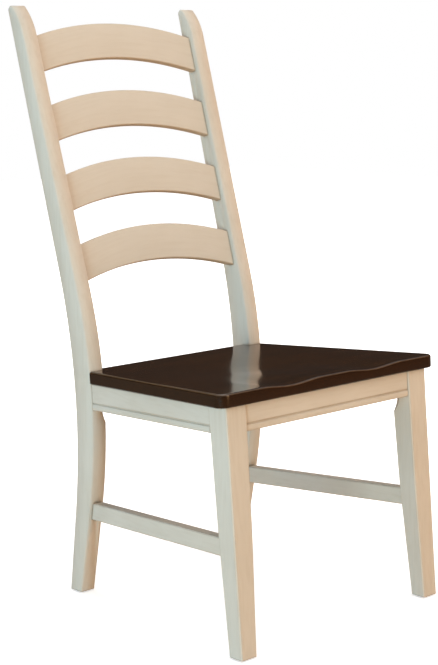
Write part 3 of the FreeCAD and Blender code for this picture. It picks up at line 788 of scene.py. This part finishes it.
for i in range(len(edge_line)):
    seat_mesh.faces.new((rings[-1][i], next_in(rings[-1], i), top))
    seat_mesh.faces.new((next_in(rings[0], i), rings[0][i], under))
print("seat faces", len(seat_mesh.faces))


# %% [markdown]
# Each slot is cut with a copy of its packed post, swollen by the gap that the joiner leaves.
# That post still has its flat, so a small block cuts the corner that the visible post has.

# %% Seat piece and the slots for the posts
slot_gap = mm(0.8)
cutter_side = 14.0
cutter_ends = ((400.0, 191.1, 106.9), (446.0, 191.6, 111.65))
block_faces = ((3, 2, 1, 0), (4, 5, 6, 7), (0, 1, 5, 4), (1, 2, 6, 5), (2, 3, 7, 6), (3, 0, 4, 7))


def swollen(mesh, gap):
    mesh.normal_update()
    shifts = [vert.normal * vert.calc_shell_factor() * gap for vert in mesh.verts]
    for vert, shift in zip(mesh.verts, shifts):
        vert.co += shift
    return mesh


def corner_cutter(way):
    # A leaning block: each end gives its height, its inner side and its front
    mesh = bmesh.new()
    corners = []
    for height, inner_x, front_y in cutter_ends:
        for x, y in ((inner_x, front_y), (inner_x + cutter_side, front_y),
                     (inner_x + cutter_side, front_y + cutter_side),
                     (inner_x, front_y + cutter_side)):
            corners.append(mesh.verts.new(mm(-way * x, y, height)))
    for face in block_faces:
        mesh.faces.new([corners[i] for i in face])
    bmesh.ops.recalc_face_normals(mesh, faces=mesh.faces)
    return mesh


seat_piece = piece_from(seat_mesh, "seat_board", seat_finish)
for cutter_mesh in (cad_copy("rear_post_left"), corner_cutter(1.0),
                    cad_copy("rear_post_right"), corner_cutter(-1.0)):
    slot_cutter = piece_from(swollen(cutter_mesh, slot_gap), "slot_cutter", seat_finish)
    cut = seat_piece.modifiers.new("slot", "BOOLEAN")
    cut.operation, cut.solver, cut.object = "DIFFERENCE", "EXACT", slot_cutter
    old, mesh = seat_piece.data, evaluated_mesh(seat_piece)
    seat_piece.modifiers.clear()
    seat_piece.data = mesh
    bpy.data.meshes.remove(old)
    bpy.data.objects.remove(slot_cutter)
hand_over(seat_piece, "seat")


# %% [markdown]
# ## Screws, bolts and glides
# Under the seat the corner blocks are held by countersunk cross-head screws, a hanger bolt
# with a washer and a nut draws each block to its leg, four longer screws hold the seat, and
# every foot stands on a nailed glide. Such hardware is bought by the box, so each kind is made
# once as a Geometry Nodes tree and placed on points. The points and their directions are
# measured from the CAD solids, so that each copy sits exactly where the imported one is.

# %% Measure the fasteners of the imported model
end_band, same_width = mm(1.0), mm(0.5)


def loose_solids(name):
    # The separate solids of a CAD node, each as an array of its points
    mesh = cad_copy(name)
    seen, solids = set(), []
    for start in mesh.verts:
        if start.index in seen:
            continue
        seen.add(start.index)
        waiting, spots = [start], []
        while waiting:
            vert = waiting.pop()
            spots.append(tuple(vert.co))
            for edge in vert.link_edges:
                other = edge.other_vert(vert)
                if other.index not in seen:
                    seen.add(other.index)
                    waiting.append(other)
        solids.append(np.array(spots))
    mesh.free()
    return solids


def measured(spots, along="longest"):
    # Middle, direction and length of a turned solid. The direction points at the wider end, or
    # at the middle of the chair where both ends are alike.
    middle = spots.mean(axis=0)
    directions = np.linalg.eigh(np.cov((spots - middle).T))[1]
    axis = directions[:, 2 if along == "longest" else 0]
    reach = (spots - middle) @ axis
    off_axis = np.linalg.norm(spots - middle - np.outer(reach, axis), axis=1)
    low, high = reach.min(), reach.max()
    ends = [off_axis[reach < low + end_band].max(), off_axis[reach > high - end_band].max()]
    alike = abs(ends[0] - ends[1]) < same_width
    if ends[0] > ends[1] + same_width or (alike and axis[:2] @ middle[:2] > 0.0):
        axis, low, high = -axis, -high, -low
    centre = middle + axis * (low + high) / 2.0
    return Vector(centre), Vector(axis), float(high - low)


def host_of(name, places, directions):
    mesh = bpy.data.meshes.new(name + "_points")
    mesh.from_pydata(places, [], [])
    aim = mesh.attributes.new("aim", "FLOAT_VECTOR", "POINT")
    for item, direction in zip(aim.data, directions):
        item.vector = direction
    return mesh


fasteners = {}
for name, along in (("block_screws", "longest"), ("seat_screws", "longest"),
                    ("hanger_bolts", "longest"), ("bolt_washers", "shortest"),
                    ("bolt_nuts", "shortest")):
    fasteners[name] = [measured(solid, along) for solid in loose_solids(name)]
    centre, axis, length = fasteners[name][0]
    print(name, len(fasteners[name]), "length %.2f mm" % (1000.0 * length),
          "axis", [round(v, 3) for v in axis])


# %% Parts that the fastener trees share
def on_points_tree(name, takes):
    return tree_of(name, {"Points": GEOMETRY, **takes})


def place_copies(tree, taken, given, parts):
    # Joins the parts, puts a copy on every point along its aim, and finishes the tree
    aim = geo(tree, "InputNamedAttribute", {"Name": "aim"}, data_type="FLOAT_VECTOR")
    turn = add_node(tree, "FunctionNodeAlignRotationToVector", {"Vector": aim}, axis="Z")
    copies = geo(tree, "InstanceOnPoints",
                 {"Points": taken["Points"], "Instance": joined(tree, parts),
                  "Rotation": turn.outputs[0]})
    return end_tree(tree, taken, given, copies)


def raised(tree, part, height):
    return moved(tree, part, xyz(tree, z=height))


def cylinder(tree, sides, radius, depth, segments=1):
    return geo(tree, "MeshCylinder", {"Vertices": sides, "Side Segments": segments,
                                      "Radius": radius, "Depth": depth})


def turned_rod(tree, radius, length, sides, stations, width_at):
    # A rod on Z from 0 down to -length, whose width changes as width_at says
    rod = cylinder(tree, sides, radius, length, stations)
    rod = raised(tree, rod, times(tree, length, -0.5))
    spot = geo(tree, "InputPosition")
    x, y, z = parts_of(tree, spot)
    width = width_at(tree, x, y, z)
    narrowed = vector_calc(tree, "MULTIPLY", spot, xyz(tree, width, width, 1.0))
    return geo(tree, "SetPosition", {"Geometry": rod, "Position": narrowed})


def thread(tree, x, y, z, pitch, depth):
    # One ridge that climbs a pitch at every turn, as a share of the full width
    turn = calc(tree, "DIVIDE", calc(tree, "ARCTAN2", y, x), 2.0 * math.pi)
    phase = calc(tree, "FRACT", minus(tree, calc(tree, "DIVIDE", z, pitch), turn))
    ridge = calc(tree, "ABSOLUTE", minus(tree, times(tree, phase, 2.0), 1.0))
    return spread(tree, ridge, 0.0, 1.0, 1.0 - depth, 1.0)


def bevelled_ends(tree, z, length, bevel, narrow):
    # The width at height z of a rod whose two ends narrow to this share over the bevel
    foot = less(tree, length)
    return calc(tree, "MINIMUM", spread(tree, z, 0.0, less(tree, bevel), narrow, 1.0),
                spread(tree, z, foot, plus(tree, foot, bevel), narrow, 1.0))


def cut_away(tree, part, *cutters):
    cut = add_node(tree, "GeometryNodeMeshBoolean", operation="DIFFERENCE", solver="EXACT")
    tree.links.new(part, cut.inputs[0])
    for cutter in cutters:
        tree.links.new(cutter, cut.inputs[1])
    return cut.outputs[0]


print("fastener helpers ready")


# %% [markdown]
# A cross-head screw has a countersunk head with two crossed slots, and a shank whose thread
# climbs to a narrow tip. The shank starts below the slots, so that they stay open.

# %% Cross-head screws
tree, taken, given = on_points_tree("cross_head_screw", {
    "Length": 0.022, "Radius": 0.002, "Head Radius": 0.004, "Head Height": 0.002,
    "Pitch": 0.0018, "Point": 0.004, "Stations": 88, "Cross Width": 0.0009,
    "Cross Reach": 0.0046, "Cross Depth": 0.0014})
shank_length = minus(tree, taken["Length"], taken["Cross Depth"])


def screw_width(tree, x, y, z):
    ridges = thread(tree, x, y, z, taken["Pitch"], 0.30)
    tip = less(tree, shank_length)
    shoulder = plus(tree, tip, taken["Point"])
    return times(tree, ridges, spread(tree, z, tip, shoulder, 0.12, 1.0))


shank = turned_rod(tree, taken["Radius"], shank_length, 16, taken["Stations"], screw_width)
head = geo(tree, "MeshCone",
           {"Vertices": 28, "Side Segments": 3, "Radius Top": taken["Head Radius"],
            "Radius Bottom": taken["Radius"], "Depth": taken["Head Height"]})
head = raised(tree, head, less(tree, taken["Head Height"]))
slot_depth = times(tree, taken["Cross Depth"], 2.0)
bars = []
for x, y in (("Cross Reach", "Cross Width"), ("Cross Width", "Cross Reach")):
    size = xyz(tree, taken[x], taken[y], slot_depth)
    bars.append(geo(tree, "MeshCube", {"Size": size}))
shank = raised(tree, shank, less(tree, taken["Cross Depth"]))
screw_tree = place_copies(tree, taken, given, [shank, cut_away(tree, head, *bars)])


# %% [markdown]
# The bolt is threaded over its whole length. The washer is a rounded section swept round a
# circle. The nut is a turned blank with bevelled ends, cut to a hexagon and bored through.

# %% Bolts, washers and nuts
tree, taken, given = on_points_tree("hanger_bolt", {
    "Length": 0.07, "Radius": 0.003, "Pitch": 0.001, "Chamfer": 0.0008, "Stations": 400})


def bolt_width(tree, x, y, z):
    ridges = thread(tree, x, y, z, taken["Pitch"], 0.17)
    ends = bevelled_ends(tree, z, taken["Length"], taken["Chamfer"], 0.74)
    return calc(tree, "MINIMUM", ridges, ends)


rod = turned_rod(tree, taken["Radius"], taken["Length"], 18, taken["Stations"], bolt_width)
bolt_tree = place_copies(tree, taken, given, [rod])

tree, taken, given = on_points_tree("flat_washer", {
    "Radius": 0.009, "Bore Radius": 0.0033, "Height": 0.0016, "Round": 0.0003})
both_radii = plus(tree, taken["Radius"], taken["Bore Radius"])
ring_line = geo(tree, "CurvePrimitiveCircle",
                {"Resolution": 48, "Radius": times(tree, 0.5, both_radii)})
section = rounded_section(tree, minus(tree, taken["Radius"], taken["Bore Radius"]),
                          taken["Height"], taken["Round"], 2)
disc = geo(tree, "CurveToMesh", {"Curve": ring_line, "Profile Curve": section})
disc = raised(tree, disc, times(tree, taken["Height"], -0.5))
washer_tree = place_copies(tree, taken, given, [disc])

tree, taken, given = on_points_tree("hexagon_nut", {
    "Corner Radius": 0.00577, "Bore Radius": 0.00302, "Height": 0.005, "Bevel": 0.0007})


def nut_width(tree, x, y, z):
    return bevelled_ends(tree, z, taken["Height"], taken["Bevel"], 0.86)


blank = turned_rod(tree, taken["Corner Radius"], taken["Height"], 48, 14, nut_width)
through = times(tree, taken["Height"], 3.0)
hexagon = cylinder(tree, 6, taken["Corner Radius"], through)
bore = cylinder(tree, 28, taken["Bore Radius"], through)
both = add_node(tree, "GeometryNodeMeshBoolean", operation="INTERSECT", solver="EXACT")
for part in (blank, hexagon):
    tree.links.new(part, both.inputs[1])
nut_tree = place_copies(tree, taken, given, [cut_away(tree, both.outputs[0], bore)])


# %% [markdown]
# A glide is a round pad, narrower at its foot, with a nail that goes up into the leg.

# %% Foot glides
tree, taken, given = on_points_tree("foot_glide", {
    "Radius": 0.010, "Height": 0.0025, "Round": 0.0012, "Nail Radius": 0.0015,
    "Nail Length": 0.014})


def glide_width(tree, x, y, z):
    foot = less(tree, taken["Height"])
    return spread(tree, z, foot, plus(tree, foot, taken["Round"]), 0.90, 1.0)


pad = turned_rod(tree, taken["Radius"], taken["Height"], 40, 10, glide_width)
nail = cylinder(tree, 16, taken["Nail Radius"], taken["Nail Length"], 2)
nail = raised(tree, nail, times(tree, taken["Nail Length"], 0.5))
glide_tree = place_copies(tree, taken, given, [pad, nail])


# %% Place the fasteners
def fasten(name, tree, material, slot, **sizes):
    # One piece of a kind: a copy at the wide end of each measured solid
    places = [centre + axis * length / 2.0 for centre, axis, length in fasteners[name]]
    directions = [axis for centre, axis, length in fasteners[name]]
    piece = baked(name + "_made", tree, 30.0, host_of(name, places, directions),
                  Material=material, **sizes)
    hand_over(piece, name)


glide_height = 0.0025
fasteners["foot_glides"] = []
for solid in loose_solids("foot_glides"):
    low, high = solid.min(axis=0), solid.max(axis=0)
    centre = Vector(((low[0] + high[0]) / 2.0, (low[1] + high[1]) / 2.0, glide_height / 2.0))
    fasteners["foot_glides"].append((centre, Vector((0.0, 0.0, 1.0)), glide_height))
lengths = {name: solids[0][2] for name, solids in fasteners.items()}
fasten("block_screws", screw_tree, steel, "steel", Length=lengths["block_screws"])
fasten("seat_screws", screw_tree, steel, "steel", Length=lengths["seat_screws"], Stations=176)
fasten("hanger_bolts", bolt_tree, steel, "steel", Length=lengths["hanger_bolts"])
fasten("bolt_washers", washer_tree, steel, "steel")
fasten("bolt_nuts", nut_tree, steel, "steel")
fasten("foot_glides", glide_tree, nylon, "glide_plastic", Height=glide_height)


# %% [markdown]
# ## Studio
# The photograph has warm light from the front right and cooler, window-like light from the
# left, on a white ground. Both come from large soft boxes here. A lamp above, one behind and
# one at the right fill the sides that the photograph doesn't show. Every lamp aims at the
# chair's middle. Their strengths were fitted to colours measured on the photographed chair.

# %% Lamps
aim_height = 0.6
mirrored_lamps = ("warm_box", "high_box", "top_box")


def soft_box(name, place, width, height, power, tint):
    lamp = bpy.data.lights.new(name, "AREA")
    lamp.shape, lamp.size, lamp.size_y = "RECTANGLE", width, height
    lamp.energy, lamp.color = power, tint
    holder = bpy.data.objects.new(name, lamp)
    holder.location = place
    aim = Vector(place) - Vector((0.0, 0.0, aim_height))
    holder.rotation_euler = aim.to_track_quat("Z", "Y").to_euler()
    # Only the front and overhead lamps leave a mirror image on the lacquer: one of a side or
    # rear lamp would fill the whole seat when it is seen from the other side
    holder.visible_glossy = name in mirrored_lamps
    bpy.context.scene.collection.objects.link(holder)
    return holder


lamps = [soft_box("warm_box", (1.20, -4.90, 1.70), 2.4, 3.0, 77.0, (1.0, 0.586, 0.273)),
         soft_box("high_box", (1.00, -2.60, 3.20), 1.8, 1.8, 29.0, (1.0, 0.865, 0.723)),
         soft_box("cool_box", (-5.20, -0.65, 1.20), 3.8, 2.4, 128.0, (0.325, 0.690, 1.0)),
         soft_box("side_box", (-4.60, -2.30, 0.75), 1.8, 1.4, 102.0, (0.760, 1.0, 1.0)),
         soft_box("top_box", (0.10, 0.20, 3.60), 2.0, 2.0, 28.0, (1.0, 0.970, 0.950)),
         soft_box("back_box", (0.30, 5.20, 2.10), 2.6, 2.0, 120.0, (1.0, 0.950, 0.880)),
         soft_box("right_box", (5.20, -0.30, 1.50), 2.6, 2.0, 110.0, (1.0, 0.960, 0.900))]
print("lamps", [lamp.name for lamp in lamps])


# %% [markdown]
# The camera sees a pure white world and a white floor that glows a little, most strongly away
# from the chair, so that only a soft contact shade is left under the feet. Diffuse light comes
# from a warm, dimmer room and from tan floorboards. A mirroring surface sees a room that is
# dark at its sides and bright overhead, and dim boards below.

# %% World and floor
pure_white = colour(1.0, 1.0, 1.0)


def pick(tree, chooser, first, second):
    # The first shader where the chooser is 0 and the second where it is 1
    return add_node(tree, "ShaderNodeMixShader", {0: chooser, 1: first, 2: second}).outputs[0]


def background(tree, tint, strength):
    return add_node(tree, "ShaderNodeBackground", {"Color": tint, "Strength": strength}).outputs[0]


def diffuse(tree, tint):
    return add_node(tree, "ShaderNodeBsdfDiffuse", {"Color": tint}).outputs[0]


world = bpy.data.worlds.new("studio")
bpy.context.scene.world = world
tree = empty_tree(world)
ray = tree.nodes.new("ShaderNodeLightPath").outputs
up = parts_of(tree, coordinates(tree, "Generated"))["Z"]
room = background(tree, pure_white, spread(tree, up, 0.42, 0.85, 0.02, 1.0))
mirrored = calc(tree, "MAXIMUM", ray["Is Glossy Ray"], ray["Is Transmission Ray"])
mixed = pick(tree, mirrored, background(tree, colour(1.0, 0.93, 0.90), 0.357), room)
add_node(tree, "ShaderNodeOutputWorld",
         {"Surface": pick(tree, ray["Is Camera Ray"], mixed, background(tree, pure_white, 1.0))})

floor_half = 9.0
floor_mesh = bmesh.new()
bmesh.ops.create_grid(floor_mesh, x_segments=8, y_segments=8, size=floor_half)
floor_paper = bpy.data.materials.new("floor_paper")
tree = empty_tree(floor_paper)
ray = tree.nodes.new("ShaderNodeLightPath").outputs
away = vector_calc(tree, "LENGTH", coordinates(tree))
glow = add_node(tree, "ShaderNodeEmission", {"Color": pure_white,
                                             "Strength": spread(tree, away, 0.4, 1.6, 0.56, 1.0)})
paper = add_node(tree, "ShaderNodeAddShader", {0: diffuse(tree, colour(0.80, 0.80, 0.80)),
                                               1: glow.outputs[0]}).outputs[0]
boards = pick(tree, ray["Is Glossy Ray"], diffuse(tree, colour(0.80, 0.56, 0.36)),
              diffuse(tree, colour(0.16, 0.15, 0.14)))
add_node(tree, "ShaderNodeOutputMaterial",
         {"Surface": pick(tree, ray["Is Camera Ray"], boards, paper)})
floor = piece_from(floor_mesh, "floor", floor_paper)
bpy.context.scene.view_settings.view_transform = "Standard"
print("world and floor ready")
